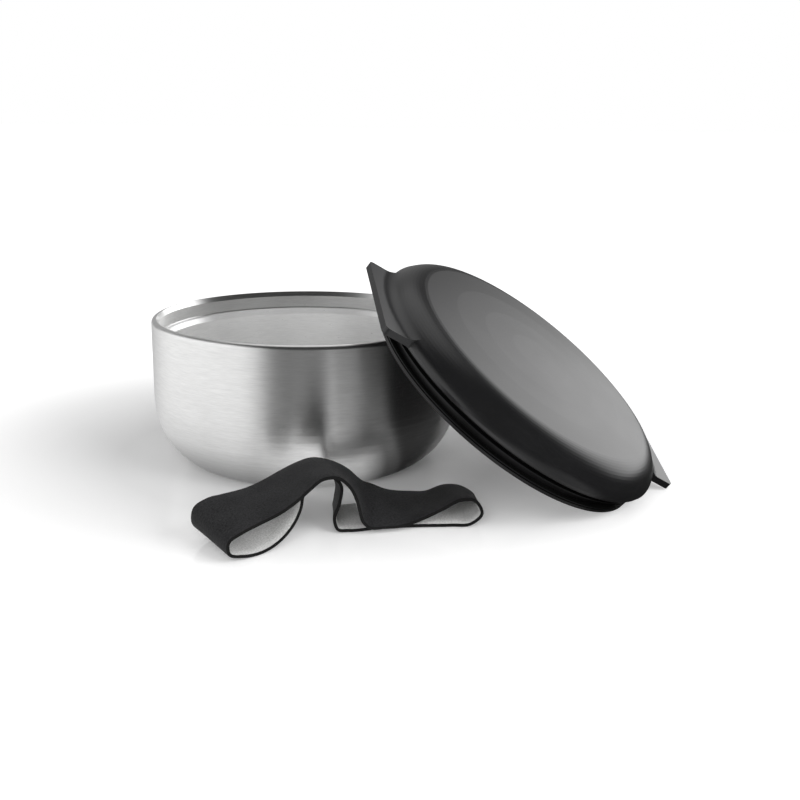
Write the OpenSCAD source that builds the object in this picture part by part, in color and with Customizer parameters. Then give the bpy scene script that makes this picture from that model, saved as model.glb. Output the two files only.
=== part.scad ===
// Insulated stainless bowl with a plug-in lid and a soft carrying strap.
// The bowl is two drawn steel shells joined at the rim, with an evacuated gap
// between them. The lid is a hollow plastic dome with two ears, closed below by
// a plate that holds a two-lipped seal. The strap is one sewn loop of foamed
// rubber with a textile lining.
// The bowl stands on z = 0 with its centre on the origin. The lid leans on the
// bowl's right side and the strap lies in front, as the set is laid out.

/* [Bowl] */
// Outer diameter of the bowl
bowl_d = 190; // [170:1:230]
// Height of the bowl
bowl_h = 90; // [80:1:120]
// Radius of the upper belly curve
belly_r = 60; // [50:1:72]
// Radius of the tight curve above the foot
foot_curve_r = 40.5; // [32:0.5:46]
// Angle through which the belly curve turns before the foot curve
belly_turn = 17; // [10:1:30]
// Depth by which the flat foot cuts into the foot curve
foot_cut = 2.9; // [0.5:0.1:5]
// Thickness of the steel sheet
sheet_t = 0.8; // [0.6:0.1:1.2]
// Empty gap between the two shells
vacuum_gap = 6.5; // [5:0.5:8]

/* [Bowl rim] */
// Radius of the rounded top edge on the outside
rim_round_r = 2.4; // [1.6:0.2:3]
// Width of the flat land on top of the rim
rim_land = 0.5; // [0.3:0.1:1]
// Depth of the sloped lead-in below the rim's top
lead_in_depth = 3; // [2:0.5:4]
// Depth of the straight neck that takes the seal, below the lead-in
neck_depth = 7.6; // [6:0.2:10]
// Width of the rim from the bowl's wall to the straight neck
rim_w = 4.4; // [4:0.2:6]
// Width of the rounded ledge below the neck
ledge_w = 2; // [1.5:0.1:3]
// Drop of the ledge's nose
ledge_drop = 1.2; // [0.8:0.1:2]
// Height of the slope from the ledge back to the wall
ledge_slope_h = 3; // [2:0.5:5]

/* [Bowl base] */
// Width of the foot's ring round the base disc
foot_ring_w = 10.7; // [8:0.1:20]
// Width of the flange that the base disc is welded to
base_flange_w = 4; // [3:0.5:6]
// Clearance round the base disc
base_disc_gap = 0.6; // [0.3:0.1:1]
// Radius of the sealed port in the base disc
port_r = 1.2; // [0.8:0.1:2]
// Radius of the dimple round the port
port_dimple_r = 4; // [3:0.5:6]
// Distance of the port from the bowl's axis
port_offset = 34; // [20:1:40]
// Radius of the getter pad inside the gap
getter_r = 8; // [5:0.5:10]
// Thickness of the getter pad
getter_t = 2.5; // [1.5:0.5:3.5]

/* [Lid cover] */
// Inset of the lid's edge from the bowl's wall
lid_inset = 1.2; // [0.6:0.1:2]
// Rounding of the lid's lower edge
edge_round = 0.8; // [0.4:0.1:1.2]
// Outward lean of the straight edge wall
edge_lean = 0.8; // [0:0.1:1]
// Height of the straight edge wall
edge_wall_h = 2.8; // [2:0.2:5]
// Radius of the lower shoulder curve
shoulder_low_r = 8; // [6:0.5:10]
// Slope at which the lower shoulder curve ends, from upright
shoulder_mid_turn = 40; // [35:1:45]
// Length of the straight run between the two shoulder curves
shoulder_run = 2.8; // [2:0.2:5]
// Radius of the upper shoulder curve
shoulder_high_r = 20; // [16:0.5:24]
// Slope at which the upper shoulder curve ends, from upright
shoulder_end_turn = 86; // [83:1:87]
// Wall thickness of the cover
cover_t = 2.2; // [1.8:0.1:3]

/* [Lid ears] */
// Reach of an ear's straight edge beyond the lid's edge
ear_out = 10.2; // [8:0.1:14]
// Full width of an ear
ear_w = 73.2; // [50:0.2:80]
// Thickness of an ear
ear_t = 4; // [3:0.2:4.4]
// Height of an ear's top face above the lid's lower edge
ear_top = 5.5; // [4.4:0.1:6]
// Corner radius of an ear
ear_corner_r = 3; // [1:0.5:6]
// Radius of the hollow blend from an ear up to the dome
ear_blend_r = 10; // [6:0.5:12]

/* [Lid seal and plate] */
// Depth of the plug below the lid's lower edge
plug_depth = 11; // [9.4:0.2:12]
// Room between the skirt that carries the seal and the bowl's neck
seal_room = 5.4; // [4:0.2:6]
// Thickness of the skirt
skirt_t = 2; // [1.6:0.1:2.6]
// Gap between the plate's rim and the bowl's neck
plate_gap = 0.4; // [0.3:0.1:1]
// Height of the plate's rim
plate_rim_h = 1.7; // [1.2:0.1:2.4]
// Thickness of the plate
plate_t = 1.6; // [1.2:0.1:2]
// Depth of the hollow under the plate
plate_hollow = 3.1; // [2:0.1:4]
// Width of the plate's rim band outside the hollow
plate_band_w = 7; // [5:0.5:10]
// Thickness of the seal's sleeve
seal_sleeve_t = 1.3; // [1:0.1:2]
// Gap between the seal's lips and the bowl's neck
seal_lip_gap = 0.2; // [0.1:0.1:0.5]
// Thickness of a seal lip
seal_lip_t = 0.9; // [0.6:0.1:1.2]
// Height of the lower lip above the plug's underside
lip_low_h = 2.1; // [2:0.1:3]
// Height of the upper lip above the plug's underside
lip_high_h = 7; // [6:0.1:8]

/* [Lid at rest] */
// Angle of the lid's axis from upright
lid_tilt = 37.4; // [33:0.1:42]
// Direction in which the lid's top faces, from +X towards +Y
lid_swing = -19.2; // [-30:0.2:0]
// Turn of the ears about the lid's own axis
lid_turn = 34; // [20:0.5:50]
// Shift of the lid along the bowl's side
lid_shift = -18.8; // [-30:0.2:0]
// Gap left where the lid meets the table and the bowl's rim
seat_gap = 0.2; // [0.1:0.05:0.4]

/* [Strap] */
// Width of the strap
strap_w = 38; // [32:1:42]
// Thickness of the strap's foamed rubber
strap_t = 1.5; // [1.2:0.1:2]
// Thickness of the textile lining
lining_t = 0.5; // [0.3:0.1:0.8]
// Length over which the strap lies from curl to curl
strap_lay_l = 128; // [110:1:150]
// Height of the strap's arch above the table
strap_arch_h = 34; // [28:1:40]
// Distance of the strap's left curl from the bowl's axis, along X
strap_x = -24; // [-60:1:0]
// Distance of the strap's line from the bowl's axis, along Y
strap_y = -152; // [-190:1:-148]

/* [Hidden] */

steel_outer = [0.80, 0.80, 0.79];
steel_inner = [0.72, 0.72, 0.71];
steel_base = [0.66, 0.66, 0.66];
seal_metal = [0.55, 0.52, 0.45];
getter_grey = [0.35, 0.36, 0.38];
plastic_black = [0.09, 0.09, 0.09];
plastic_gloss = [0.16, 0.16, 0.16];
foam_white = [0.90, 0.90, 0.86];
silicone_black = [0.05, 0.05, 0.05];
strap_black = [0.14, 0.14, 0.14];
lining_grey = [0.74, 0.74, 0.73];

round_fn = 180;
arc_step = 5;
// Length by which a cut runs past the body that it opens
overrun = 1;

// ---- Bowl profile ----
bowl_r = bowl_d / 2;
wall_join_z = (belly_r - foot_curve_r) * sin(belly_turn) + foot_curve_r - foot_cut;
belly_c = [bowl_r - belly_r, wall_join_z];
foot_c = [bowl_r - belly_r + (belly_r - foot_curve_r) * cos(belly_turn),
    foot_curve_r - foot_cut];
inner_offset = sheet_t + vacuum_gap;
cavity_offset = inner_offset + sheet_t;
cavity_r = bowl_r - cavity_offset;
rim_seam_z = bowl_h - rim_round_r;
neck_top_z = bowl_h - lead_in_depth;
neck_low_z = neck_top_z - neck_depth;
neck_r = bowl_r - rim_w;
rim_top_r = bowl_r - rim_round_r;
ledge_r = neck_r - ledge_w;
ledge_z = neck_low_z - ledge_drop;
cavity_top_z = ledge_z - ledge_slope_h;

// Points of an arc about c, from angle a to angle b below the horizontal
function arc_down(c, r, a, b) =
    let (n = ceil(abs(b - a) / arc_step))
    [for (i = [0:n]) let (t = a + (b - a) * i / n) c + r * [cos(t), -sin(t)]];

// The bowl's curve from the wall down to the foot, moved inwards by d and ended
// at the angle low_turn
function bowl_curve(d, low_turn) = concat(
    arc_down(belly_c, belly_r - d, 0, belly_turn),
    arc_down(foot_c, foot_curve_r - d, belly_turn + arc_step / 2, low_turn)
);
// The angle at which the curve moved inwards by d meets the flat foot there
function foot_turn(d) = asin((foot_c.y - d) / (foot_curve_r - d));
foot_r = foot_c.x + foot_curve_r * cos(foot_turn(0));
base_disc_r = foot_r - foot_ring_w;
base_hole_r = base_disc_r - base_flange_w;
base_step_r = base_disc_r + base_disc_gap;
inner_floor_z = foot_c.y - foot_curve_r + inner_offset;
cavity_floor_z = inner_floor_z + sheet_t;
function reversed(list) = [for (i = [len(list) - 1:-1:0]) list[i]];

module spun() {
    rotate_extrude($fn = round_fn) children();
}

// The outer shell: brushed wall, belly and foot ring, with a joggled flange
module bowl_outer_shell() {
    color(steel_outer) spun() polygon(concat(
        [[bowl_r - sheet_t, rim_seam_z], [bowl_r, rim_seam_z]],
        bowl_curve(0, foot_turn(0)),
        [[base_step_r, 0], [base_step_r, sheet_t], [base_hole_r, sheet_t],
         [base_hole_r, sheet_t * 2], [base_step_r + sheet_t, sheet_t * 2],
         [base_step_r + sheet_t * 2, sheet_t]],
        reversed(bowl_curve(sheet_t, foot_turn(sheet_t)))
    ));
}

// The rim's outer rounding, from the seam up to the land on top
function rim_round() = [for (t = [0:arc_step * 3:90])
    [rim_top_r + rim_round_r * cos(t), rim_seam_z + rim_round_r * sin(t)]];

// The inner shell: rolled rim, lead-in, neck, ledge, wall and floor
module bowl_inner_shell() {
    color(steel_inner) spun() polygon(concat(
        rim_round(),
        [[rim_top_r - rim_land, bowl_h], [neck_r, neck_top_z], [neck_r, neck_low_z],
         [ledge_r + ledge_w / 2, neck_low_z - ledge_drop / 4], [ledge_r, ledge_z],
         [cavity_r, cavity_top_z]],
        bowl_curve(cavity_offset, 90),
        [[0, cavity_floor_z], [0, inner_floor_z]],
        reversed(bowl_curve(inner_offset, 90)),
        [[cavity_r + sheet_t, cavity_top_z - sheet_t / 2],
         [ledge_r + sheet_t, ledge_z - sheet_t / 2],
         [neck_r + sheet_t, neck_low_z - sheet_t / 2], [neck_r + sheet_t, neck_top_z],
         [bowl_r - sheet_t, rim_seam_z + sheet_t / 2], [bowl_r - sheet_t, rim_seam_z]]
    ));
}

// The base disc, welded under the flange, with its dimpled port
module bowl_base_disc() {
    color(steel_base) difference() {
        cylinder(r = base_disc_r, h = sheet_t, $fn = round_fn);
        translate([-port_offset, 0, -overrun])
            cylinder(r = port_r, h = sheet_t + overrun * 2, $fn = round_fn);
        translate([-port_offset, 0, -overrun])
            cylinder(r = port_dimple_r, h = sheet_t / 2 + overrun, $fn = round_fn);
    }
}

// The bead that closes the port once the gap is evacuated
bead_r_share = 0.7;
module vacuum_port_seal() {
    color(seal_metal) translate([-port_offset, 0, 0]) {
        translate([0, 0, sheet_t / 4])
            cylinder(r = port_dimple_r * bead_r_share, h = sheet_t / 4, $fn = round_fn);
        translate([0, 0, sheet_t / 2]) cylinder(r = port_r, h = sheet_t / 2, $fn = round_fn);
    }
}

// The pad that keeps the gap free of gas, fixed on the base disc
module getter_pad() {
    color(getter_grey) translate([0, 0, sheet_t])
        cylinder(r = getter_r, h = getter_t, $fn = round_fn);
}

// ---- Lid profile, in the lid's own frame: z along its axis, edge at z = 0 ----
lid_r = bowl_r - lid_inset;
edge_top = [lid_r + edge_lean, edge_wall_h];
low_end = edge_top + shoulder_low_r
    * [cos(shoulder_mid_turn) - 1, sin(shoulder_mid_turn)];
run_end = low_end + shoulder_run * [-sin(shoulder_mid_turn), cos(shoulder_mid_turn)];
high_c = run_end - shoulder_high_r * [cos(shoulder_mid_turn), sin(shoulder_mid_turn)];
high_end = high_c + shoulder_high_r * [cos(shoulder_end_turn), sin(shoulder_end_turn)];
crown_r = high_end.x / cos(shoulder_end_turn);
crown_c = [0, high_end.y - crown_r * sin(shoulder_end_turn)];

// The dome's outline from its lower edge to the crown, moved inwards by d
function dome_curve(d) = concat(
    [for (t = [0:arc_step:shoulder_mid_turn])
        edge_top - [shoulder_low_r, 0] + (shoulder_low_r - d) * [cos(t), sin(t)]],
    [for (t = [shoulder_mid_turn:arc_step:shoulder_end_turn])
        high_c + (shoulder_high_r - d) * [cos(t), sin(t)]],
    [for (t = [shoulder_end_turn:(90 - shoulder_end_turn) / 4:90])
        crown_c + (crown_r - d) * [cos(t), sin(t)]]
);
skirt_r = neck_r - seal_room;
skirt_in_r = skirt_r - skirt_t;
plate_r = neck_r - plate_gap;
plate_top_z = plate_hollow + plate_t - plug_depth;
skirt_low_z = plate_rim_h - plug_depth;
seal_lip_r = neck_r - seal_lip_gap;

// The dome, its flange and the skirt that hangs from it
module cover_shell() {
    spun() polygon(concat(
        [[lid_r - edge_round, 0], [lid_r, edge_round]],
        dome_curve(0),
        reversed(dome_curve(cover_t)),
        [[lid_r + edge_lean - cover_t, cover_t], [skirt_in_r, cover_t],
         [skirt_in_r, skirt_low_z], [skirt_r, skirt_low_z], [skirt_r, 0]]
    ));
}

// The blend that both ears are cut from: flat at the ear, then hollow up to the
// straight run between the dome's two shoulder curves, which it touches evenly
ear_blend_turn = 90 - shoulder_mid_turn;
ear_reach = lid_r + ear_out;
run_normal = [cos(shoulder_mid_turn), sin(shoulder_mid_turn)];
blend_c = [(run_normal * low_end + ear_blend_r - run_normal.y * (ear_top + ear_blend_r))
    / run_normal.x, ear_top + ear_blend_r];
module ear_blend() {
    spun() polygon(concat(
        [[skirt_r, ear_top - ear_t], [ear_reach * 2, ear_top - ear_t],
         [ear_reach * 2, ear_top]],
        [for (t = [0:arc_step:ear_blend_turn]) blend_c - ear_blend_r * [sin(t), cos(t)]],
        [[skirt_r, blend_c.y - ear_blend_r * cos(ear_blend_turn)]]
    ));
}

// Outline of both ears seen along the lid's axis
module ear_outline() {
    inset = ear_corner_r * 2;
    for (s = [0, 180]) rotate(s) {
        translate([0, -(ear_w - inset) / 2])
            square([ear_reach, ear_w - inset]);
        translate([0, -ear_w / 2])
            square([ear_reach - ear_corner_r, ear_w]);
        for (side = [-1, 1])
            translate([ear_reach - ear_corner_r, side * (ear_w / 2 - ear_corner_r)])
                circle(r = ear_corner_r, $fn = round_fn);
    }
}

module ears() {
    difference() {
        intersection() {
            ear_blend();
            translate([0, 0, -overrun])
                linear_extrude(ear_top + ear_blend_r + overrun * 2) ear_outline();
        }
        spun() polygon(concat([[0, -overrun], [lid_r - cover_t / 2, -overrun]],
            dome_curve(cover_t / 2)));
    }
}

module lid_cover_local() {
    union() {
        cover_shell();
        ears();
    }
}

// Foamed core that fills the dome
foam_gap = 0.3;
module lid_foam_local() {
    spun() polygon(concat(
        [for (p = dome_curve(cover_t + foam_gap)) if (p.x < skirt_in_r - foam_gap) p],
        [[0, plate_top_z + foam_gap], [skirt_in_r - foam_gap, plate_top_z + foam_gap]]
    ));
}

// The plate that closes the lid from below, with a hollow under it
module lid_plate_local() {
    plate_band_r = plate_r - plate_band_w;
    translate([0, 0, -plug_depth]) spun() polygon([
        [plate_band_r, 0], [plate_r, 0], [plate_r, plate_rim_h], [skirt_in_r, plate_rim_h],
        [skirt_in_r, plate_hollow + plate_t], [0, plate_hollow + plate_t],
        [0, plate_hollow], [plate_band_r - plate_hollow, plate_hollow],
    ]);
}

// The seal: a sleeve round the skirt with two lips that fill the bowl's neck
module lid_seal_local() {
    lip_tip_t = seal_lip_t / 2;
    sleeve_r = skirt_r + seal_sleeve_t;
    translate([0, 0, -plug_depth]) spun() polygon([
        [skirt_r, plate_rim_h], [sleeve_r, plate_rim_h],
        [sleeve_r, lip_low_h], [seal_lip_r, lip_low_h + lip_tip_t],
        [seal_lip_r, lip_low_h + seal_lip_t], [sleeve_r, lip_low_h + seal_lip_t],
        [sleeve_r, lip_high_h], [seal_lip_r, lip_high_h + lip_tip_t],
        [seal_lip_r, lip_high_h + seal_lip_t], [sleeve_r, lip_high_h + seal_lip_t],
        [sleeve_r, plug_depth], [skirt_r, plug_depth],
    ]);
}

// ---- Where the lid rests ----
// Its plug's lower edge meets the table and the hollow under it meets the rim.
lid_rise = seat_gap + plug_depth * cos(lid_tilt) + plate_r * sin(lid_tilt);
under_plate = plug_depth - plate_hollow;
rim_touch = sin(lid_tilt) * rim_top_r + cos(lid_tilt) * rim_seam_z + rim_round_r;
lid_reach = (rim_touch + seat_gap + under_plate - cos(lid_tilt) * lid_rise) / sin(lid_tilt);

module lid_at_rest() {
    rotate([0, 0, lid_swing])
        translate([lid_reach, lid_shift, lid_rise])
            rotate([0, lid_tilt, 0])
                rotate([0, 0, lid_turn])
                    children();
}

module lid_cover() { color(plastic_black) lid_at_rest() lid_cover_local(); }
module lid_foam() { color(foam_white) lid_at_rest() lid_foam_local(); }
module lid_plate() { color(plastic_gloss) lid_at_rest() lid_plate_local(); }
module lid_seal() { color(silicone_black) lid_at_rest() lid_seal_local(); }

// ---- Strap ----
// Stations along the strap's front edge: place along and across the lay as
// shares of strap_lay_l, height as a share of strap_arch_h, then the direction
// of the width: its turn from +Y towards -X and its lean above the level.
strap_shares = [
    [0.012, -0.259, 0.13, 38, 9],
    [0.014, -0.268, 0.32, 36, 10],
    [0.057, -0.243, 0.42, 35, 10],
    [0.105, -0.212, 0.49, 35, 7],
    [0.207, -0.147, 0.63, 33, 2],
    [0.259, -0.115, 0.75, 31, 0],
    [0.305, -0.089, 0.89, 28, -2],
    [0.352, -0.062, 1.01, 26, -4],
    [0.410, -0.034, 1.00, 26, -1],
    [0.457, -0.011, 0.83, 23, 5],
    [0.481, 0.007, 0.62, 18, 11],
    [0.494, 0.025, 0.40, 12, 16],
    [0.508, 0.043, 0.20, 8, 19],
    [0.534, 0.057, 0.09, 9, 21],
    [0.591, 0.070, 0.08, 13, 18],
    [0.657, 0.087, 0.08, 15, 12],
    [0.780, 0.120, 0.22, 16, 0],
    [0.842, 0.140, 0.32, 15, -6],
    [0.904, 0.159, 0.42, 12, -7],
    [0.967, 0.171, 0.39, 10, -7],
    [0.995, 0.169, 0.19, 4, -4],
    [0.948, 0.166, 0.02, 1, 0],
    [0.873, 0.165, 0.00, 3, 0],
    [0.727, 0.153, 0.00, 7, 0],
    [0.577, 0.128, 0.00, 12, 0],
    [0.439, 0.089, 0.00, 11, 0],
    [0.404, 0.082, 0.02, 7, 0],
    [0.388, 0.084, 0.18, 3, -2],
    [0.409, 0.090, 0.44, 6, -1],
    [0.414, 0.092, 0.74, 16, -3],
    [0.366, 0.079, 0.90, 23, -7],
    [0.305, 0.049, 0.90, 27, -13],
    [0.272, 0.018, 0.71, 30, -13],
    [0.260, -0.007, 0.47, 37, -11],
    [0.234, -0.040, 0.27, 41, -7],
    [0.197, -0.079, 0.12, 43, -3],
    [0.154, -0.123, 0.03, 43, 0],
    [0.059, -0.214, 0.03, 42, 4],
];
strap_rings_per_station = 3;
strap_half_t = (strap_t + lining_t) / 2;
strap_n = len(strap_shares);
function strap_share(i) = strap_shares[(i + strap_n) % strap_n];
function strap_front(i) = let (s = strap_share(i))
    [strap_x + s[0] * strap_lay_l, strap_y + s[1] * strap_lay_l,
     seat_gap * 2 + strap_half_t + s[2] * strap_arch_h];
function width_dir(a) = [-sin(a[0]) * cos(a[1]), cos(a[0]) * cos(a[1]), sin(a[1])];
function strap_angle(i) = let (s = strap_share(i)) [s[3], s[4]];
function gap_len(i) = norm(strap_front(i + 1) - strap_front(i));

// Slope of a value v at station i, for a smooth curve through uneven steps
function slope(v0, v1, v2, l0, l1) =
    ((v2 - v1) * l0 / l1 + (v1 - v0) * l1 / l0) / (l0 + l1);
function hermite(p, q, mp, mq, l, u) =
    p * (2 * u * u * u - 3 * u * u + 1) + mp * l * (u * u * u - 2 * u * u + u)
    + q * (3 * u * u - 2 * u * u * u) + mq * l * (u * u * u - u * u);
function strap_edge(i, u) = let (l = gap_len(i)) hermite(
    strap_front(i), strap_front(i + 1),
    slope(strap_front(i - 1), strap_front(i), strap_front(i + 1), gap_len(i - 1), l),
    slope(strap_front(i), strap_front(i + 1), strap_front(i + 2), l, gap_len(i + 1)), l, u);
function strap_turns(i, u) = let (l = gap_len(i)) hermite(
    strap_angle(i), strap_angle(i + 1),
    slope(strap_angle(i - 1), strap_angle(i), strap_angle(i + 1), gap_len(i - 1), l),
    slope(strap_angle(i), strap_angle(i + 1), strap_angle(i + 2), l, gap_len(i + 1)), l, u);

strap_ring_steps = [for (i = [0:strap_n - 1], k = [0:strap_rings_per_station - 1])
    [i, k / strap_rings_per_station]];
strap_dirs = [for (s = strap_ring_steps) width_dir(strap_turns(s[0], s[1]))];
strap_mids = [for (j = [0:len(strap_ring_steps) - 1])
    strap_edge(strap_ring_steps[j][0], strap_ring_steps[j][1]) + strap_dirs[j] * strap_w / 2];
strap_rings = len(strap_mids);
// Direction out of the loop at each ring
strap_outs = [for (j = [0:strap_rings - 1]) let (
        t = strap_mids[(j + 1) % strap_rings] - strap_mids[(j + strap_rings - 1) % strap_rings],
        c = cross(t, strap_dirs[j]))
    c / norm(c)];
function ring_corner(j, side, out) = strap_mids[j] + strap_dirs[j] * side + strap_outs[j] * out;

// A closed band between two depths of the strap. Each face is split along the
// same diagonal on both sides, so that two layers meet face to face.
module strap_layer(out_low, out_high) {
    points = [for (j = [0:strap_rings - 1]) each [
        ring_corner(j, -strap_w / 2, out_low), ring_corner(j, strap_w / 2, out_low),
        ring_corner(j, strap_w / 2, out_high), ring_corner(j, -strap_w / 2, out_high)]];
    faces = [for (j = [0:strap_rings - 1], k = [0:3]) let (
            a = j * 4 + k, b = j * 4 + (k + 1) % 4,
            c = ((j + 1) % strap_rings) * 4 + (k + 1) % 4, d = ((j + 1) % strap_rings) * 4 + k)
        each k < 2 ? [[a, c, b], [a, d, c]] : [[a, d, b], [b, d, c]]];
    polyhedron(points = points, faces = faces, convexity = 8);
}

// Foamed rubber with a knitted face
module strap_band() {
    color(strap_black) strap_layer(lining_t - strap_half_t, strap_half_t);
}

// Textile lining on the loop's inner side
module strap_lining() {
    color(lining_grey) strap_layer(-strap_half_t, lining_t - strap_half_t);
}

strap_loop_l = sum_list([for (j = [0:strap_rings - 1])
    norm(strap_mids[(j + 1) % strap_rings] - strap_mids[j])], strap_rings - 1);
function sum_list(v, i) = i < 0 ? 0 : v[i] + sum_list(v, i - 1);
echo(strap_loop_l = strap_loop_l);

bowl_outer_shell();
bowl_inner_shell();
bowl_base_disc();
vacuum_port_seal();
getter_pad();
lid_cover();
lid_foam();
lid_plate();
lid_seal();
strap_band();
strap_lining();
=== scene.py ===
"""Looks of an insulated steel bowl, its plug-in lid and its strap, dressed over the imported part."""

import logging
import math
from collections.abc import Iterable, Sequence
from dataclasses import dataclass, field
from enum import Enum
from itertools import accumulate

import bmesh
import bpy
from mathutils import Matrix, Vector


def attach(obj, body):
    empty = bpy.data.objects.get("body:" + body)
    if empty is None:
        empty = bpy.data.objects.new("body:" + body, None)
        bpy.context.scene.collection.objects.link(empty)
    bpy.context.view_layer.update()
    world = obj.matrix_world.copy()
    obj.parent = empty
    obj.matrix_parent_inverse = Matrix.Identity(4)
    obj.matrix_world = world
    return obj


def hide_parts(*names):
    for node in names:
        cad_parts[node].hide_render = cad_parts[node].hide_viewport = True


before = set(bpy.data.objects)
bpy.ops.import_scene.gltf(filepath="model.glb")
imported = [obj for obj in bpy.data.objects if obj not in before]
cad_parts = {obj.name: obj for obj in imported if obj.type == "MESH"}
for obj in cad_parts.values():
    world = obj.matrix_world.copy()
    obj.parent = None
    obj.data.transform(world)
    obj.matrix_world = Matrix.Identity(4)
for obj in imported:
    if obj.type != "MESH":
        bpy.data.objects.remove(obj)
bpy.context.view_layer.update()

log = logging.getLogger("bowl_set")

Colour = tuple[float, float, float]
Place = tuple[float, float, float]
Span = tuple[float, float]
Stops = tuple[tuple[float, float], ...]
Station = tuple[float, float, float, float, float]

MM = 0.001

# The height of the ledge in the bowl's mouth, above which the inner sheet is bare.
LEDGE_Z = 78.1 * MM

# The heights from which the rolled rim is polished, outside and inside.
OUTER_RIM_Z = 86.5 * MM
INNER_RIM_Z = 85.5 * MM

# The middle of the lid's dome, where the CAD mesh has its pole.
LID_CROWN = (0.138482, -0.068132, 0.07951)

# The ranges in which most and nearly all of a noise's values lie.
NOISE_MOST = (0.35, 0.65)
NOISE_ALL = (0.3, 0.7)


class Body(Enum):
    """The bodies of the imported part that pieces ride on."""

    BOWL = "bowl"
    LID = "lid"
    STRAP = "strap"


class Slot(Enum):
    """The record's material slots of the strap's new pieces, which the script names but takes no
    finish from.
    """

    STRAP_FACE = "strap_face"
    STRAP_LINING = "strap_lining"


class Graph:
    """A node tree with short calls that make and join nodes."""

    def __init__(self, tree: bpy.types.NodeTree) -> None:
        """Starts with an empty tree.

        Args:
            tree: the node tree of a material or of the world.
        """
        self.tree = tree
        tree.nodes.clear()

    def feed(self, socket: bpy.types.NodeSocket, value: object) -> None:
        """Gives an input its value, or joins it to another node.

        Args:
            socket: the input.
            value: a value or an output socket.
        """
        if isinstance(value, bpy.types.NodeSocket):
            self.tree.links.new(value, socket)
        else:
            socket.default_value = value

    def node(self, kind: str, inputs: dict[str | int, object] | None = None,
             **settings: object) -> bpy.types.Node:
        """Makes one node.

        Args:
            kind: the node's type, without "ShaderNode".
            inputs: values or output sockets for its inputs, by name or number.
            settings: the node's own properties.

        Returns:
            The new node.
        """
        made = self.tree.nodes.new("ShaderNode" + kind)
        for name, value in settings.items():
            setattr(made, name, value)
        for name, value in (inputs or {}).items():
            self.feed(made.inputs[name], value)
        return made

    def math(self, operation: str, a: object, b: object = 0.0,
             c: object = 0.0) -> bpy.types.NodeSocket:
        """One step of arithmetic.

        Args:
            operation: the Math node's operation.
            a: the first value or socket.
            b: the second value or socket.
            c: the third value or socket.

        Returns:
            The result's socket.
        """
        return self.node("Math", {0: a, 1: b, 2: c}, operation=operation).outputs[0]

    def radius(self, xyz: bpy.types.NodeOutputs) -> bpy.types.NodeSocket:
        """Returns the distance from the Z axis of a place that is given by its three sockets."""
        squares = [self.math("MULTIPLY", xyz[k], xyz[k]) for k in (0, 1)]
        return self.math("SQRT", self.math("ADD", *squares))

    def mean(self, a: object, b: object, share: float) -> bpy.types.NodeSocket:
        """The weighed mean of two values.

        Args:
            a: the first value or socket.
            b: the second value or socket.
            share: the first one's share.

        Returns:
            The mean's socket.
        """
        return self.math("ADD", self.math("MULTIPLY", a, share),
                         self.math("MULTIPLY", b, 1.0 - share))

    def blend(self, share: object, a: object, b: object) -> bpy.types.NodeSocket:
        """Mixes two colours.

        Args:
            share: the second colour's share.
            a: the first colour or socket.
            b: the second colour or socket.

        Returns:
            The mixed colour's socket.
        """
        made = self.node("Mix", data_type="RGBA")
        for number, value in ((0, share), (6, a), (7, b)):
            self.feed(made.inputs[number], value)
        return made.outputs[2]

    def span(self, value: object, low: float, high: float, to_low: float,
             to_high: float) -> bpy.types.NodeSocket:
        """Maps a range onto another one, and stops at its ends.

        Args:
            value: the value or socket that is mapped.
            low: the range's low end.
            high: the range's high end.
            to_low: the result at the low end.
            to_high: the result at the high end.

        Returns:
            The result's socket.
        """
        ends = {"Value": value, "From Min": low, "From Max": high,
                "To Min": to_low, "To Max": to_high}
        return self.node("MapRange", ends).outputs["Result"]

    def noise(self, where: bpy.types.NodeSocket, scale: float, detail: float,
              roughness: float = 0.5) -> bpy.types.NodeSocket:
        """A cloudy noise.

        Args:
            where: the place's socket.
            scale: how many times the noise changes in a unit.
            detail: how many finer noises lie over it.
            roughness: how strong the finer noises are.

        Returns:
            The noise's socket, from 0 to 1.
        """
        return self.node("TexNoise", {"Vector": where, "Scale": scale, "Detail": detail,
                                      "Roughness": roughness}).outputs["Fac"]

    def ramp(self, value: object, stops: Sequence[tuple[float, float]]) -> bpy.types.NodeSocket:
        """A grey ramp.

        Args:
            value: the place on the ramp, from 0 to 1.
            stops: each stop's place and its grey.

        Returns:
            The colour's socket.
        """
        made = self.node("ValToRGB", {0: value})
        elements = made.color_ramp.elements
        while len(elements) > 1:
            elements.remove(elements[-1])
        elements[0].position, elements[0].color = stops[0][0], grey(stops[0][1])
        for place, tone in stops[1:]:
            elements.new(place).color = grey(tone)
        return made.outputs[0]

    def parts(self, vector: bpy.types.NodeSocket) -> bpy.types.NodeOutputs:
        """Returns the X, Y and Z sockets of a vector."""
        return self.node("SeparateXYZ", {0: vector}).outputs

    def surface(self, shader: bpy.types.Node) -> None:
        """Makes a shader the material's surface."""
        self.node("OutputMaterial", {"Surface": shader.outputs[0]})


def grey(tone: float) -> tuple[float, float, float, float]:
    """Returns an opaque grey of one tone."""
    return (tone, tone, tone, 1.0)


def opaque(colour: Colour, share: float = 1.0) -> tuple[float, ...]:
    """Returns a colour times a share, with full alpha."""
    return tuple(c * share for c in colour) + (1.0,)


def new_material(name: str) -> tuple[bpy.types.Material, Graph]:
    """Makes an empty material.

    Args:
        name: the material's name.

    Returns:
        The material and its node tree.
    """
    made = bpy.data.materials.new(name)
    made.use_nodes = True
    return made, Graph(made.node_tree)


def link(name: str, data: bpy.types.ID) -> bpy.types.Object:
    """Makes an object and puts it in the scene.

    Args:
        name: the object's name.
        data: its mesh, lamp or camera.

    Returns:
        The new object.
    """
    thing = bpy.data.objects.new(name, data)
    bpy.context.scene.collection.objects.link(thing)
    return thing


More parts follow.
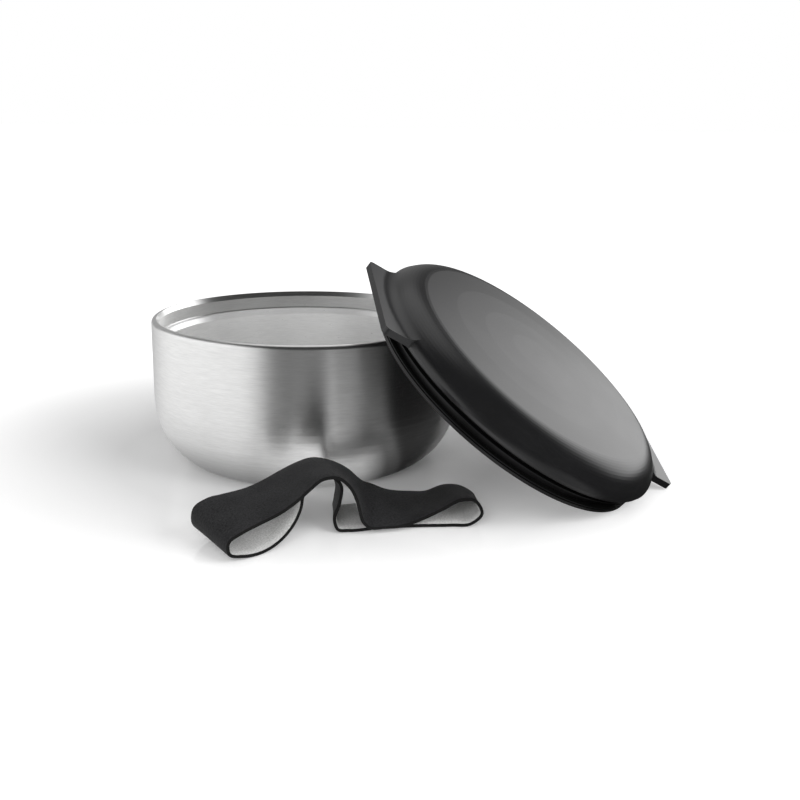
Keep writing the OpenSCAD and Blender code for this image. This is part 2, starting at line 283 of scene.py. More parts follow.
@dataclass(frozen=True)
class BrushedSteel:
    """Steel sheet that was brushed on a lathe, so that its lines run round the bowl's axis."""

    name: str
    colour: Colour
    roughness: float
    roughness_swing: float
    anisotropy: float
    polish_from: float | None = None
    metallic: float = 1.0
    bare_from: float | None = None
    bare_over: float = 1.0 * MM
    polish_over: float = 1.5 * MM
    polished: float = 0.30
    line_pitch: float = 0.30 * MM
    line_turns: float = 14.0
    line_detail: float = 3.0
    line_roughness: float = 0.6
    line_share: float = 0.7
    streak_share: float = 0.2
    streak_turns: float = 5.0
    streak_detail: float = 2.0
    dark_share: float = 0.88
    line_depth: float = 0.002 * MM
    line_strength: float = 0.35
    brush_turn: float = 0.25

    def lines(self, g: Graph, turn: bpy.types.NodeSocket, along: object,
              turns: float) -> bpy.types.NodeSocket:
        """The place from which a noise takes its lines round the axis.

        Args:
            g: the material's node tree.
            turn: the direction's socket, in radians.
            along: the line's number across the sheet.
            turns: how often a line changes on its way round.

        Returns:
            The place's socket.
        """
        east, north = g.math("COSINE", turn), g.math("SINE", turn)
        return g.node("CombineXYZ", {0: g.math("MULTIPLY", east, turns),
                                     1: g.math("MULTIPLY", north, turns), 2: along}).outputs[0]

    def rough(self, g: Graph, lines: bpy.types.NodeSocket,
              height: bpy.types.NodeSocket) -> bpy.types.NodeSocket:
        """The sheet's roughness, which changes with its lines and is even on the polished rim.

        Args:
            g: the material's node tree.
            lines: the lines' socket.
            height: the socket of the height above the foot.

        Returns:
            The roughness as a socket.
        """
        satin = g.span(lines, *NOISE_ALL, self.roughness + self.roughness_swing,
                       self.roughness - self.roughness_swing)
        if self.polish_from is None:
            return satin
        rim = g.span(height, self.polish_from, self.polish_from + self.polish_over, 0.0, 1.0)
        return g.math("ADD", g.math("MULTIPLY", satin, g.math("SUBTRACT", 1.0, rim)),
                      g.math("MULTIPLY", rim, self.polished))

    def material(self) -> bpy.types.Material:
        """Returns the finish as a material. The lines follow z plus the distance from the axis."""
        made, g = new_material(self.name)
        xyz = g.parts(g.node("TexCoord").outputs["Object"])
        along = g.math("MULTIPLY", g.math("ADD", g.radius(xyz), xyz[2]), 1 / self.line_pitch)
        turn = g.math("ARCTAN2", xyz[0], xyz[1])
        fine = g.noise(self.lines(g, turn, along, self.line_turns), 1.0, self.line_detail,
                       self.line_roughness)
        wide = g.math("MULTIPLY", along, self.streak_share)
        slow = g.noise(self.lines(g, turn, wide, self.streak_turns), 1.0, self.streak_detail)
        both = g.mean(fine, slow, self.line_share)
        tint = g.blend(g.span(both, *NOISE_MOST, 0.0, 1.0), opaque(self.colour, self.dark_share),
                       opaque(self.colour))
        bump = g.node("Bump", {"Height": fine, "Strength": self.line_strength,
                               "Distance": self.line_depth})
        metal = self.metallic
        if self.bare_from is not None:
            metal = g.span(xyz[2], self.bare_from, self.bare_from + self.bare_over,
                           self.metallic, 1.0)
        g.surface(g.node("BsdfPrincipled", {
            "Base Color": tint, "Metallic": metal, "Roughness": self.rough(g, both, xyz[2]),
            "Normal": bump.outputs[0],
            "Anisotropic": self.anisotropy, "Anisotropic Rotation": self.brush_turn,
            "Tangent": g.node("Tangent", direction_type="RADIAL", axis="Z").outputs[0]}))
        return made


@dataclass(frozen=True)
class MouldedPlastic:
    """A moulded, melted or foamed piece with a fine grain, such as plastic or silicone."""

    name: str
    colour: Colour
    roughness: float
    grain_pitch: float
    grain_depth: float
    reflectance: float = 0.5
    dome_centre: Place | None = None
    dome_zone: Span = (3.0 * MM, 4.5 * MM)
    grain_strength: float = 0.5
    grain_detail: float = 2.0
    clouds: float = 22.0
    cloud_detail: float = 3.0
    paler_share: float = 1.25
    roughness_swing: float = 0.06

    def even_normal(self, g: Graph, where: bpy.types.NodeSocket) -> bpy.types.NodeSocket:
        """The normal, taken from the faces at the dome's centre, where many thin faces meet.

        Args:
            g: the material's node tree.
            where: the socket of the Object coordinates.

        Returns:
            The normal's socket.
        """
        surface = g.node("NewGeometry").outputs
        if self.dome_centre is None:
            return surface["Normal"]
        away = g.node("VectorMath", {0: where, 1: self.dome_centre},
                      operation="DISTANCE").outputs["Value"]
        share = g.span(away, *self.dome_zone, 1.0, 0.0)
        return g.node("Mix", {0: share, 4: surface["Normal"], 5: surface["True Normal"]},
                      data_type="VECTOR").outputs[1]

    def material(self) -> bpy.types.Material:
        """Returns the finish as a material on Object coordinates."""
        made, g = new_material(self.name)
        where = g.node("TexCoord").outputs["Object"]
        grain = g.noise(where, 1 / self.grain_pitch, self.grain_detail)
        cloud = g.noise(where, self.clouds, self.cloud_detail)
        tint = g.blend(g.span(cloud, *NOISE_MOST, 0.0, 1.0), opaque(self.colour),
                       opaque(self.colour, self.paler_share))
        rough = g.span(cloud, *NOISE_ALL, self.roughness * (1 - self.roughness_swing),
                       self.roughness * (1 + self.roughness_swing))
        bump = g.node("Bump", {"Height": grain, "Strength": self.grain_strength,
                               "Distance": self.grain_depth,
                               "Normal": self.even_normal(g, where)})
        g.surface(g.node("BsdfPrincipled", {
            "Base Color": tint, "Roughness": rough, "Normal": bump.outputs[0],
            "Specular IOR Level": self.reflectance}))
        return made


@dataclass(frozen=True)
class Textile:
    """A fine textile on the strap, drawn on the piece's own UV map, which is in metres.

    A wave's two numbers are how many waves a row holds and how far they wander.
    """

    name: str
    colour: Colour
    paler: Colour
    roughness: float
    sheen: float
    row_pitch: float
    fuzz_pitch: float
    depth: float
    cloud_pitch: float = 14 * MM
    cloud_detail: float = 2.0
    fuzz_detail: float = 4.0
    fuzz_roughness: float = 0.7
    row_wave: Span = (1.0, 1.2)
    column_wave: Span = (0.7, 1.5)
    knit_share: float = 0.25
    fuzz_span: Span = (0.38, 0.62)
    fuzz_share: float = 0.8
    relief: float = 0.6
    reflectance: float = 0.25
    sheen_roughness: float = 0.4

    def waves(self, g: Graph, where: bpy.types.NodeSocket, scale: float, bend: float,
              direction: str) -> bpy.types.NodeSocket:
        """The rows or the columns of the knit.

        Args:
            g: the material's node tree.
            where: the place's socket, in rows.
            scale: how many waves a row holds.
            bend: how far the waves wander.
            direction: the axis that they run across.

        Returns:
            The waves' socket.
        """
        return g.node("TexWave", {"Vector": where, "Scale": scale, "Distortion": bend,
                                  "Detail": 1.0}, bands_direction=direction).outputs["Fac"]

    def material(self) -> bpy.types.Material:
        """Returns the finish as a material: knit rows with loose fibres over them."""
        made, g = new_material(self.name)
        uv = g.node("TexCoord").outputs["UV"]
        scaled = g.node("Mapping", {"Vector": uv, "Scale": (1 / self.row_pitch,) * 3}).outputs[0]
        rows = self.waves(g, scaled, *self.row_wave, "X")
        columns = self.waves(g, scaled, *self.column_wave, "Y")
        fuzz = g.noise(uv, 1 / self.fuzz_pitch, self.fuzz_detail, self.fuzz_roughness)
        cloud = g.noise(uv, 1 / self.cloud_pitch, self.cloud_detail)
        weave = g.math("MULTIPLY", g.math("ADD", rows, columns), 0.5)
        both = g.mean(weave, fuzz, self.knit_share)
        pale = g.math("ADD", g.span(both, *self.fuzz_span, 0.0, self.fuzz_share),
                      g.span(cloud, *NOISE_MOST, 0.0, 1.0 - self.fuzz_share))
        tint = g.blend(pale, opaque(self.colour), opaque(self.paler))
        bump = g.node("Bump", {"Height": both, "Strength": self.relief, "Distance": self.depth})
        g.surface(g.node("BsdfPrincipled", {
            "Base Color": tint, "Roughness": self.roughness, "Normal": bump.outputs[0],
            "Specular IOR Level": self.reflectance, "Sheen Weight": self.sheen,
            "Sheen Roughness": self.sheen_roughness}))
        return made


OUTER_STEEL = BrushedSteel(
    "outer_brushed_steel", (0.97, 0.97, 0.965), roughness=0.32, roughness_swing=0.04,
    anisotropy=0.92, polish_from=OUTER_RIM_Z)
INNER_STEEL = BrushedSteel(
    "inner_satin_steel", (0.96, 0.96, 0.955), roughness=0.30, roughness_swing=0.03,
    anisotropy=0.4, polish_from=INNER_RIM_Z, metallic=0.58, bare_from=LEDGE_Z)
BASE_STEEL = BrushedSteel(
    "base_rolled_steel", (0.68, 0.68, 0.68), roughness=0.38, roughness_swing=0.06, anisotropy=0.3)
PORT_BRAZE = MouldedPlastic(
    "port_braze_bead", (0.42, 0.38, 0.30), roughness=0.4, grain_pitch=0.6 * MM,
    grain_depth=0.03 * MM)
GETTER = MouldedPlastic(
    "getter_pad_metal", (0.20, 0.21, 0.22), roughness=0.7, grain_pitch=0.3 * MM,
    grain_depth=0.03 * MM)
LID_PLASTIC = MouldedPlastic(
    "lid_matt_plastic", (0.006, 0.006, 0.0064), roughness=0.30, grain_pitch=0.25 * MM,
    grain_depth=0.006 * MM, reflectance=0.6, dome_centre=LID_CROWN)
PLATE_PLASTIC = MouldedPlastic(
    "plate_smooth_plastic", (0.005, 0.005, 0.005), roughness=0.26, grain_pitch=0.5 * MM,
    grain_depth=0.004 * MM, reflectance=0.35)
FOAM = MouldedPlastic(
    "lid_foam", (0.74, 0.74, 0.70), roughness=0.9, grain_pitch=1.2 * MM, grain_depth=0.2 * MM)
SILICONE = MouldedPlastic(
    "seal_silicone", (0.004, 0.004, 0.004), roughness=0.30, grain_pitch=0.5 * MM,
    grain_depth=0.004 * MM, reflectance=0.25)
STRAP_FACE = Textile(
    "strap_knit_face", (0.007, 0.007, 0.0075), (0.034, 0.034, 0.0355), roughness=0.9, sheen=0.05,
    row_pitch=1.1 * MM, fuzz_pitch=1.1 * MM, depth=0.25 * MM)
STRAP_EDGE = Textile(
    "strap_cut_edge", (0.004, 0.004, 0.004), (0.008, 0.008, 0.008), roughness=0.8, sheen=0.0,
    row_pitch=0.60 * MM, fuzz_pitch=0.35 * MM, depth=0.05 * MM)
STRAP_LINING = Textile(
    "strap_loop_lining", (0.34, 0.34, 0.335), (0.72, 0.72, 0.715), roughness=0.95, sheen=0.1,
    row_pitch=1.3 * MM, fuzz_pitch=1.0 * MM, depth=0.25 * MM)

Finish = BrushedSteel | MouldedPlastic


@dataclass
class DressedBody:
    """A sub-assembly whose CAD nodes keep their shape and are only given their finishes."""

    body: Body
    finishes: dict[str, Finish]

    def build(self) -> None:
        """Dresses each node."""
        for node, finish in self.finishes.items():
            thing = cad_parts[node]
            thing.data.materials.clear()
            thing.data.materials.append(finish.material())
            log.info("%s on the %s: dressed in %s", node, self.body.value, finish.name)


@dataclass
class BowlBody(DressedBody):
    """The double-walled bowl: its shells, the base disc, its port's bead and the getter pad."""

    body: Body = Body.BOWL
    finishes: dict[str, Finish] = field(default_factory=lambda: {
        "bowl_outer_shell": OUTER_STEEL, "bowl_inner_shell": INNER_STEEL,
        "bowl_base_disc": BASE_STEEL, "vacuum_port_seal": PORT_BRAZE, "getter_pad": GETTER})


@dataclass
class Lid(DressedBody):
    """The lid: its cover, foam, plate and seal."""

    body: Body = Body.LID
    finishes: dict[str, Finish] = field(default_factory=lambda: {
        "lid_cover": LID_PLASTIC, "lid_foam": FOAM, "lid_plate": PLATE_PLASTIC,
        "lid_seal": SILICONE})


def closed_pairs(items: list) -> list[tuple]:
    """Returns each item of a closed row with the next one."""
    return list(zip(items, items[1:] + items[:1]))


def running_sum(steps: Iterable[float]) -> list[float]:
    """Returns the sum before the first step and after each one."""
    return [0.0, *accumulate(steps)]


def settle_order(bm: bmesh.types.BMesh, vert_number: bmesh.types.BMLayerItem,
                 face_number: bmesh.types.BMLayerItem) -> None:
    """Puts a mesh in the order of its numbers, because an extrusion's order differs between runs.

    Args:
        bm: the mesh.
        vert_number: the layer with each vert's number, which is removed.
        face_number: the layer with each face's number, which is removed.
    """
    bm.verts.sort(key=lambda vert: vert[vert_number])
    bm.faces.sort(key=lambda face: face[face_number])
    bm.verts.index_update()
    bm.edges.sort(key=lambda edge: (min(v.index for v in edge.verts) * len(bm.verts)
                                    + max(v.index for v in edge.verts)))
    bm.verts.layers.int.remove(vert_number)
    bm.faces.layers.int.remove(face_number)


@dataclass
class Strap:
    """The closed strap: foamed rubber with a knitted face and a textile lining inside the loop.

    Each station gives a place on the strap's front edge as shares of the laid length (along and
    across) and of the arch's height, and the turn and the lean of its width in degrees.
    """

    width: float = 38 * MM
    face_t: float = 1.25 * MM
    lining_t: float = 0.5 * MM
    cad_t: float = 2.0 * MM
    lay_length: float = 128 * MM
    arch_height: float = 34 * MM
    left_x: float = -24 * MM
    line_y: float = -152 * MM
    rest_gap: float = 0.4 * MM
    edge_round: float = 0.25 * MM
    corner_points: int = 4
    lip: float = 0.30 * MM
    recess_share: float = 0.9
    lining_share: float = 0.8
    lining_gap: float = 0.05 * MM
    lining_round: float = 0.2 * MM
    steps: int = 6
    weld: float = 1e-7
    shares: list[Station] = field(default_factory=lambda: [
        (0.012, -0.259, 0.13, 38, 9), (0.014, -0.268, 0.32, 36, 10),
        (0.057, -0.243, 0.42, 35, 10), (0.105, -0.212, 0.49, 35, 7),
        (0.207, -0.147, 0.63, 33, 2), (0.259, -0.115, 0.75, 31, 0),
        (0.305, -0.089, 0.89, 28, -2), (0.352, -0.062, 1.01, 26, -4),
        (0.410, -0.034, 1.00, 26, -1), (0.457, -0.011, 0.83, 23, 5),
        (0.481, 0.007, 0.62, 18, 11), (0.494, 0.025, 0.40, 12, 16),
        (0.508, 0.043, 0.20, 8, 19), (0.534, 0.057, 0.09, 9, 21),
        (0.591, 0.070, 0.08, 13, 18), (0.657, 0.087, 0.08, 15, 12),
        (0.780, 0.120, 0.22, 16, 0), (0.842, 0.140, 0.32, 15, -6),
        (0.904, 0.159, 0.42, 12, -7), (0.967, 0.171, 0.39, 10, -7),
        (0.995, 0.169, 0.19, 4, -4), (0.948, 0.166, 0.02, 1, 0),
        (0.873, 0.165, 0.00, 3, 0), (0.727, 0.153, 0.00, 7, 0),
        (0.577, 0.128, 0.00, 12, 0), (0.439, 0.089, 0.00, 11, 0),
        (0.404, 0.082, 0.02, 7, 0), (0.388, 0.084, 0.18, 3, -2),
        (0.409, 0.090, 0.44, 6, -1), (0.414, 0.092, 0.74, 16, -3),
        (0.366, 0.079, 0.90, 23, -7), (0.305, 0.049, 0.90, 27, -13),
        (0.272, 0.018, 0.71, 30, -13), (0.260, -0.007, 0.47, 37, -11),
        (0.234, -0.040, 0.27, 41, -7), (0.197, -0.079, 0.12, 43, -3),
        (0.154, -0.123, 0.03, 43, 0), (0.059, -0.214, 0.03, 42, 4)])

    def station(self, i: int) -> tuple[Vector, Vector]:
        """A station's place on the front edge and its width's turn and lean.

        Args:
            i: the station's number, which may run past the ends.

        Returns:
            The place in metres and the two angles in degrees, as vectors.
        """
        along, across, up, turn, lean = self.shares[i % len(self.shares)]
        place = Vector((self.left_x + along * self.lay_length,
                        self.line_y + across * self.lay_length,
                        self.rest_gap + self.cad_t / 2 + up * self.arch_height))
        return place, Vector((turn, lean))

    def between(self, i: int, u: float, part: int) -> Vector:
        """A smooth value between two stations.

        Args:
            i: the station before.
            u: the share of the way to the next station.
            part: 0 for the place, 1 for the angles.

        Returns:
            The value there.
        """
        near = [self.station(i + k) for k in (-1, 0, 1, 2)]
        gaps = [(near[k + 1][0] - near[k][0]).length for k in range(3)]
        v = [n[part] for n in near]

        def slope(k: int) -> Vector:
            """Returns the slope at the k-th of the four stations."""
            low, high = gaps[k - 1], gaps[k]
            return ((v[k + 1] - v[k]) * low / high + (v[k] - v[k - 1]) * high / low) / (low + high)

        span = gaps[1]
        return (v[1] * (2 * u**3 - 3 * u**2 + 1) + slope(1) * span * (u**3 - 2 * u**2 + u)
                + v[2] * (3 * u**2 - 2 * u**3) + slope(2) * span * (u**3 - u**2))

    def rings(self) -> list[Matrix]:
        """Returns each ring's frame: X across the width, Z out of the loop, its middle."""
        mids, widths = [], []
        for i in range(len(self.shares)):
            for k in range(self.steps):
                turn, lean = (math.radians(a) for a in self.between(i, k / self.steps, 1))
                wide = Vector((-math.sin(turn) * math.cos(lean), math.cos(turn) * math.cos(lean),
                               math.sin(lean)))
                mids.append(self.between(i, k / self.steps, 0) + wide * self.width / 2)
                widths.append(wide)
        made = []
        for j, (mid, wide) in enumerate(zip(mids, widths)):
            run = mids[(j + 1) % len(mids)] - mids[j - 1]
            out = run.cross(wide).normalized()
            axes = Matrix((wide, out.cross(wide), out)).transposed().to_4x4()
            made.append(Matrix.Translation(mid) @ axes)
        return made

    def lengths(self, rings: list[Matrix]) -> list[float]:
        """Returns the length along the loop at each ring, and the whole length at the end."""
        return running_sum((b.translation - a.translation).length
                           for a, b in closed_pairs(rings))

    def sweep(self, name: str, section: list[tuple[float, float]], edge_from: float,
              rings: list[Matrix]) -> bpy.types.Object:
        """Sweeps a closed section round the loop, with a UV map in metres.

        Args:
            name: the piece's name.
            section: the points across (X) and out (Z) of the section, in turn.
            edge_from: the distance from the middle past which a face is on the cut edge.
            rings: the frames that the section passes.

        Returns:
            The new piece.
        """
        bm = bmesh.new()
        uv = bm.loops.layers.uv.new("metres")
        vert_number = bm.verts.layers.int.new("number")
        face_number = bm.faces.layers.int.new("number")
        lengths = self.lengths(rings)
        around = running_sum(math.dist(a, b) for a, b in closed_pairs(section))
        row = [bm.verts.new(rings[0] @ Vector((x, 0, z))) for x, z in section]
        edges = [bm.edges.new(ends) for ends in closed_pairs(row)]
        for n, vert in enumerate(row):
            vert[vert_number] = n
        for j in range(1, len(rings) + 1):
            grown = bmesh.ops.extrude_edge_only(bm, edges=edges)["geom"]
            fresh = {g for g in grown if isinstance(g, bmesh.types.BMVert)}
            next_row = [next(e.other_vert(old) for e in old.link_edges
                             if e.other_vert(old) in fresh) for old in row]
            edges = [bm.edges.get(ends) for ends in closed_pairs(next_row)]
            side = {vert: n for verts in (row, next_row) for n, vert in enumerate(verts)}
            for face in (g for g in grown if isinstance(g, bmesh.types.BMFace)):
                low, high = sorted({side[vert] for vert in face.verts})
                if high - low > 1:
                    low, high = high, len(section)
                for loop in face.loops:
                    there = lengths[j if loop.vert in fresh else j - 1]
                    loop[uv].uv = (there, around[low if side[loop.vert] == low else high])
                middle = (section[low][0] + section[high % len(section)][0]) / 2
                face.material_index = int(abs(middle) > edge_from)
                face.smooth = True
                face[face_number] = len(section) * j + low
            row, ring = next_row, j % len(rings)
            for n, (vert, (x, z)) in enumerate(zip(row, section)):
                vert.co = rings[ring] @ Vector((x, 0, z))
                vert[vert_number] = len(section) * ring + n
        bmesh.ops.remove_doubles(bm, verts=bm.verts, dist=self.weld)
        bmesh.ops.recalc_face_normals(bm, faces=bm.faces)
        settle_order(bm, vert_number, face_number)
        mesh = bpy.data.meshes.new(name)
        bm.to_mesh(mesh)
        bm.free()
        return link(name, mesh)

    def face_section(self) -> list[tuple[float, float]]:
        """Returns the rubber's section: round corners, and a recess for the lining inside."""
        half_w, half_t = self.width / 2, (self.face_t + self.lining_t) / 2
        r, turn = self.edge_round, 90 / (self.corner_points - 1)
        recess_z = self.lining_t * self.recess_share - half_t
        right = []
        for start, middle in ((90, half_t - r), (0, r - half_t)):
            for k in range(self.corner_points):
                a = math.radians(start - turn * k)
                right.append((half_w - r + r * math.cos(a), middle + r * math.sin(a)))
        right += [(half_w - self.lip, -half_t), (half_w - self.lip, recess_z)]
        left = [(-x, z) for x, z in reversed(right)]
        top = [(half_w * s, half_t) for s in (-0.6, -0.2, 0.2, 0.6)]
        floor = [(half_w * s, recess_z) for s in (0.5, 0.0, -0.5)]
        return right + floor + left + top

    def lining_section(self) -> list[tuple[float, float]]:
        """Returns the section of the lining, which lies in the recess with soft edges."""
        half_w = self.width / 2 - self.lip - self.lining_gap
        low = -(self.face_t + self.lining_t) / 2
        high = self.lining_t * self.lining_share - (self.face_t + self.lining_t) / 2
        soft = self.lining_round
        bottom = [(half_w * s, low) for s in (0.6, 0.2, -0.2, -0.6)]
        return [(half_w - soft, high), (half_w, high - soft), (half_w, low + soft),
                (half_w - soft, low), *bottom, (soft - half_w, low), (-half_w, low + soft),
                (-half_w, high - soft), (soft - half_w, high)]

    def build(self) -> None:
        """Builds the band and its lining, hides the CAD nodes that they replace, and hangs both on
        the strap's body.
        """
        rings = self.rings()
        length = self.lengths(rings)[-1]
        band = self.sweep("strap_webbing", self.face_section(), self.width / 2 - self.lip, rings)
        for finish in (STRAP_FACE, STRAP_EDGE):
            band.data.materials.append(finish.material())
        lining = self.sweep("strap_inner_lining", self.lining_section(), self.width, rings)
        lining.data.materials.append(STRAP_LINING.material())
        for piece, node, slot in ((band, "strap_band", Slot.STRAP_FACE),
                                  (lining, "strap_lining", Slot.STRAP_LINING)):
            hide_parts(node)
            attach(piece, Body.STRAP.value)
            log.info("%s: %d faces, loop %.4f m", piece.name, len(piece.data.polygons), length)


@dataclass(frozen=True)
class SoftBox:
    """A white panel of the studio, as polished surfaces mirror it.

    Its turn is counted from the front towards the right and its height from the horizon, and it
    is full and has faded out at two angles from its middle, all in degrees.
    """

    turn: float
    height: float
    full: float
    fades: float
    level: float

    def glow(self, g: Graph, looking: bpy.types.NodeSocket) -> bpy.types.NodeSocket:
        """Returns the panel's brightness in a direction.

        Args:
            g: the world's node tree.
            looking: the direction's socket.

        Returns:
            The brightness as a socket.
        """
        turn, height = math.radians(self.turn), math.radians(self.height)
        aim = (math.sin(turn) * math.cos(height), -math.cos(turn) * math.cos(height),
               math.sin(height))
        near = g.node("VectorMath", {0: looking, 1: aim}, operation="DOT_PRODUCT").outputs["Value"]
        ends = {"Value": near, "From Min": math.cos(math.radians(self.fades)),
                "From Max": math.cos(math.radians(self.full)), "To Max": self.level}
        return g.node("MapRange", ends, interpolation_type="SMOOTHSTEP").outputs["Result"]


@dataclass(frozen=True)
class Lamp:
    """A soft square lamp that mirrors don't show. Its power is in watts."""

    name: str
    place: Place
    aim: Place
    power: float
    size: float = 0.8

    def build(self) -> None:
        """Hangs the lamp at its place, facing the point that it aims at."""
        data = bpy.data.lights.new(self.name, "AREA")
        data.shape, data.size, data.energy = "SQUARE", self.size, self.power
        thing = link(self.name, data)
        facing = (Vector(self.aim) - Vector(self.place)).to_track_quat("-Z", "Y")
        thing.matrix_world = Matrix.Translation(self.place) @ facing.to_matrix().to_4x4()
        thing.visible_camera = False
        thing.visible_glossy = False


@dataclass(frozen=True)
class Floor:
    """The white glossy floor.

    Polished surfaces see it as a glow of painted greys that change with the direction round the bowl:
    a painted reflection, with painted shade of the lid to the right and a painted contact shadow
    round the bowl's foot. The stops give each direction in degrees, from the front to the right,
    and its grey, for three zones: round the bowl, near it and far from it. A zone is a pair of
    distances from the bowl's axis. Camera rays see it with a painted glow that grows away from
    the bowl.
    """

    half: float = 12.0
    colour: float = 0.97
    roughness: float = 0.10
    specular: float = 0.3
    specular_y: Span = (-0.30, -0.17)
    specular_zone: Span = (0.35, 0.7)
    # Painted light: camera rays see the floor glow more with the distance from the bowl, which leaves
    # its shade only near the bowl.
    painted_glow: Span = (0.05, 0.7)
    painted_glow_zone: Span = (0.12, 0.32)
    # Painted contact shadow: polished surfaces see the floor turn black round the bowl's foot.
    contact_shadow_zone: Span = (0.075, 0.115)
    contact_shadow_share: float = 0.7
    near_zone: Span = (0.105, 0.36)
    near_share: float = 0.9
    far_zone: Span = (0.25, 0.50)
    # Painted reflection round the bowl. The dark stretch from 53 to 130 degrees is painted shade of
    # the lid, and the stop at 20 degrees paints a bright highlight line on the wall.
    round_stops: Stops = (
        (-180, 0.5), (-140, 0.6), (-100, 1.0), (-37, 1.0), (-29, 0.92), (-23, 0.62), (-17, 0.42),
        (-12, 0.37), (-3, 0.37), (6, 0.42), (17, 0.40), (20, 0.80), (23, 0.40), (40, 0.42),
        (47, 0.60), (50, 0.55), (53, 0.02), (130, 0.05), (155, 0.55), (180, 0.72))
    # Painted reflection far from the bowl. The dark stretch from 52 to 130 degrees is painted shade
    # of the lid.
    far_stops: Stops = (
        (-180, 0.5), (-140, 0.6), (-100, 1.0), (-37, 1.0), (-29, 0.90), (-23, 0.48), (-17, 0.15),
        (-12, 0.06), (17, 0.06), (20, 0.30), (23, 0.06), (41, 0.08), (47, 0.18), (50, 0.28),
        (52, 0.02), (130, 0.05), (155, 0.55), (180, 0.72))
    # Painted reflection near the bowl: bright in front, with painted shade of the lid from 36 to 130
    # degrees.
    near_stops: Stops = (
        (-180, 0.62), (-20, 0.64), (0, 1.0), (20, 0.98), (30, 0.85), (36, 0.45), (43, 0.08),
        (56, 0.04), (130, 0.05), (170, 0.62))

    def ramp(self, g: Graph, xyz: bpy.types.NodeOutputs, stops: Stops) -> bpy.types.NodeSocket:
        """A grey that depends on the direction round the bowl's axis.

        Args:
            g: the node tree.
            xyz: the sockets of the place on the floor.
            stops: each stop's direction in degrees and its grey.

        Returns:
            The grey's socket.
        """
        turn = g.math("ARCTAN2", xyz[0], g.math("MULTIPLY", xyz[1], -1.0))
        place = g.math("MULTIPLY_ADD", turn, 1 / math.tau, 0.5)
        return g.ramp(place, [(a / 360 + 0.5, tone) for a, tone in stops])

    def mirrored(self, g: Graph, xyz: bpy.types.NodeOutputs,
                 away: bpy.types.NodeSocket) -> bpy.types.NodeSocket:
        """The floor's painted grey as polished surfaces see it: a painted reflection, with painted
        shade of the lid and a painted contact shadow.

        Args:
            g: the node tree.
            xyz: the sockets of the place on the floor.
            away: the socket of the distance from the bowl's axis.

        Returns:
            The grey's socket.
        """
        sides = self.ramp(g, xyz, self.round_stops)
        sides = g.blend(g.span(away, *self.far_zone, 0.0, 1.0), sides,
                        self.ramp(g, xyz, self.far_stops))
        sides = g.blend(g.span(away, *self.near_zone, self.near_share, 0.0), sides,
                        self.ramp(g, xyz, self.near_stops))
        # Painted contact shadow round the bowl's foot.
        return g.blend(g.span(away, *self.contact_shadow_zone, self.contact_shadow_share, 0.0), sides, grey(0.0))

    def material(self) -> bpy.types.Material:
        """Returns the floor's material, which can be seen through from below."""
        made, g = new_material("white_floor")
        rays = g.node("LightPath").outputs
        xyz = g.parts(g.node("TexCoord").outputs["Object"])
        away = g.radius(xyz)
        fade = g.math("MULTIPLY", g.span(xyz[1], *self.specular_y, 0.0, self.specular),
                      g.span(away, *self.specular_zone, 1.0, 0.0))
        # Painted light for camera rays, stronger away from the bowl.
        painted_glow = g.math("MULTIPLY", rays["Is Camera Ray"], g.span(away, *self.painted_glow_zone, *self.painted_glow))
        white = g.node("BsdfPrincipled", {
            "Base Color": grey(self.colour), "Roughness": self.roughness,
            "Specular IOR Level": fade, "Emission Color": grey(1.0), "Emission Strength": painted_glow})
        # Glossy rays see the painted greys as a glow instead of the lit floor: a painted reflection
        # with painted shade.
        mirror = g.node("Emission", {0: self.mirrored(g, xyz, away)})
        above = g.node("MixShader", {0: rays["Is Glossy Ray"], 1: white.outputs[0],
                                     2: mirror.outputs[0]})
        below = g.node("BsdfTransparent")
        g.surface(g.node("MixShader", {0: g.node("NewGeometry").outputs["Backfacing"],
                                       1: above.outputs[0], 2: below.outputs[0]}))
        return made

    def build(self) -> None:
        """Lays the floor."""
        bm = bmesh.new()
        bmesh.ops.create_grid(bm, x_segments=1, y_segments=1, size=self.half)
        mesh = bpy.data.meshes.new("floor")
        bm.to_mesh(mesh)
        bm.free()
        thing = link("floor", mesh)
        mesh.materials.append(self.material())


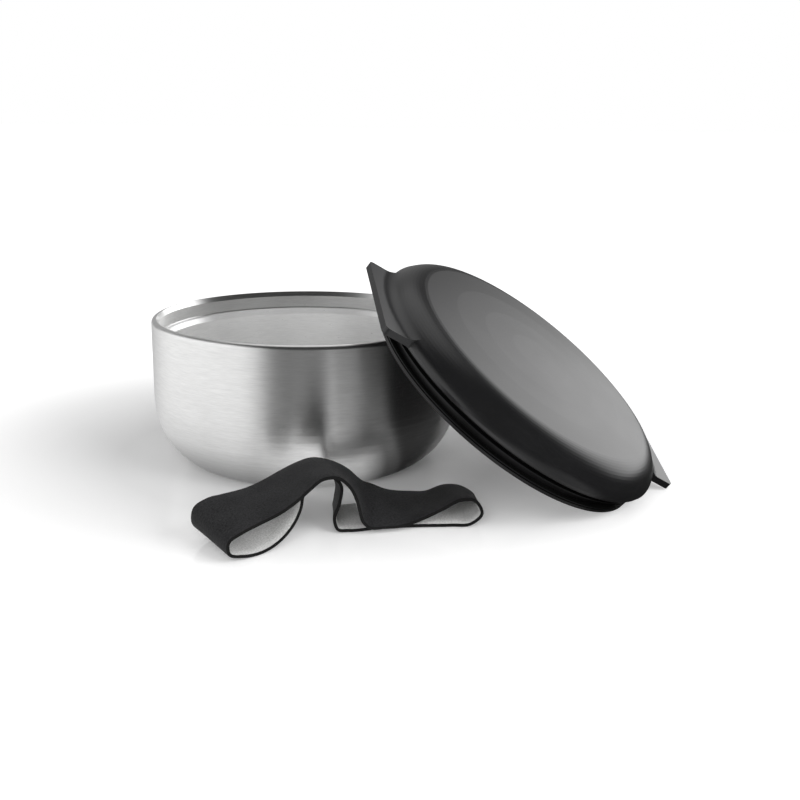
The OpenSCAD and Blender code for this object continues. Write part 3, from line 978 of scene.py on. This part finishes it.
@dataclass
class Studio:
    """The camera, the white surroundings, the floor and the soft lamps."""

    lens: float = 50.0
    sensor: float = 36.0
    camera_place: Place = (0.05905, -0.68547, 0.21497)
    camera_pitch: float = 14.665
    camera_roll: float = 0.687
    sky_level: float = 0.43
    dim: float = 0.035
    boxes: tuple[SoftBox, ...] = (
        SoftBox(-80, -12, 42, 62, 1.0), SoftBox(131, 11, 9, 33, 2.15),
        SoftBox(-158, 18, 14, 44, 0.36), SoftBox(180, 66, 14, 34, 0.9))
    floor: Floor = Floor()
    lamps: tuple[Lamp, ...] = (
        Lamp("key_lamp", (1.0, -0.8, 0.65), (0.0, -0.05, 0.0), 11.0),
        Lamp("fill_lamp", (-0.1, -1.2, 0.5), (0.1, -0.05, 0.0), 8.0))

    def camera(self) -> None:
        """Makes the camera that matches the photograph."""
        data = bpy.data.cameras.new("camera")
        data.lens, data.sensor_width, data.sensor_fit = self.lens, self.sensor, "HORIZONTAL"
        thing = link("camera", data)
        thing.matrix_world = (Matrix.Translation(self.camera_place)
                              @ Matrix.Rotation(math.radians(90 - self.camera_pitch), 4, "X")
                              @ Matrix.Rotation(math.radians(self.camera_roll), 4, "Z"))
        bpy.context.scene.camera = thing

    def world(self) -> None:
        """Makes the world: white to the camera, light and dark sides to polished surfaces."""
        world = bpy.data.worlds.new("studio")
        bpy.context.scene.world = world
        world.use_nodes = True
        g = Graph(world.node_tree)
        rays = g.node("LightPath").outputs
        looking = g.node("TexCoord").outputs["Generated"]
        shiny = self.dim
        for box in self.boxes:
            shiny = g.math("MAXIMUM", shiny, box.glow(g, looking))
        lit = g.blend(rays["Is Glossy Ray"], grey(self.sky_level), shiny)
        seen = g.math("MAXIMUM", rays["Is Camera Ray"], rays["Is Transmission Ray"])
        sky = g.node("Background", {0: g.blend(seen, lit, grey(1.0))})
        g.node("OutputWorld", {0: sky.outputs[0]})

    def build(self) -> None:
        """Builds the studio."""
        self.camera()
        self.world()
        self.floor.build()
        for lamp in self.lamps:
            lamp.build()
        bpy.context.scene.view_settings.view_transform = "Standard"


def main() -> None:
    """Builds the studio and dresses each sub-assembly in turn."""
    logging.basicConfig(level=logging.INFO)
    for part in (Studio(), BowlBody(), Lid(), Strap()):
        part.build()


if __name__ == "__main__":
    main()
